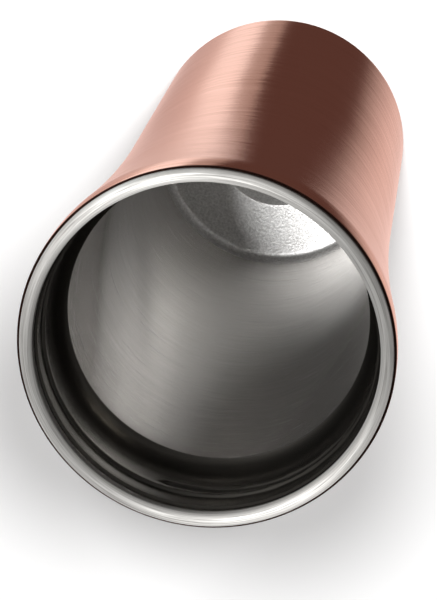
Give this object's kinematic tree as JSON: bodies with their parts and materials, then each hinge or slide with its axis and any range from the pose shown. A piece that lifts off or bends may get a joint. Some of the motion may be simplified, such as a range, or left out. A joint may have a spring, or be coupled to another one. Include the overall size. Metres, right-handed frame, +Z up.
{
  "type": "double-wall vacuum tumbler body",
  "caption": "Open double-walled vacuum vessel with a copper-coloured flared shell, rolled steel lip, internally threaded neck and silicone foot ring.",
  "frame": {"origin": "centre of the underside of the silicone foot ring, where the vessel stands", "axes": "+Z up along the vessel's axis, out of the mouth; the body is round, so X and Y are free, and +X points to the getter inside the base"},
  "size_m": [0.0832, 0.0832, 0.1845],
  "materials": {
    "copper_finish": "stainless steel brushed round the body, with a satin copper-coloured plating",
    "liner_steel": "electropolished satin stainless steel, with a polished lip",
    "floor_steel": "fine matt, bead-blasted stainless steel",
    "plain_steel": "mill-finish stainless sheet",
    "cover_steel": "stainless steel brushed in circles",
    "foot_silicone": "matt dark silicone",
    "tape": "acrylic adhesive tape",
    "solder_glass": "dark fused solder glass",
    "copper_foil": "bright thin copper foil",
    "getter_metal": "grey pressed metal powder"
  },
  "bodies": {
    "root": {"outer_shell": "copper_finish", "inner_liner": "liner_steel", "inner_bottom": "floor_steel", "outer_bottom": "plain_steel", "sealing_bead": "solder_glass", "base_cover": "cover_steel", "cover_tape": "tape", "foot_ring": "foot_silicone", "wall_foil": "copper_foil", "floor_foil": "copper_foil", "getter_clip": "plain_steel", "getter_pellet": "getter_metal"}
  },
  "joints": []
}
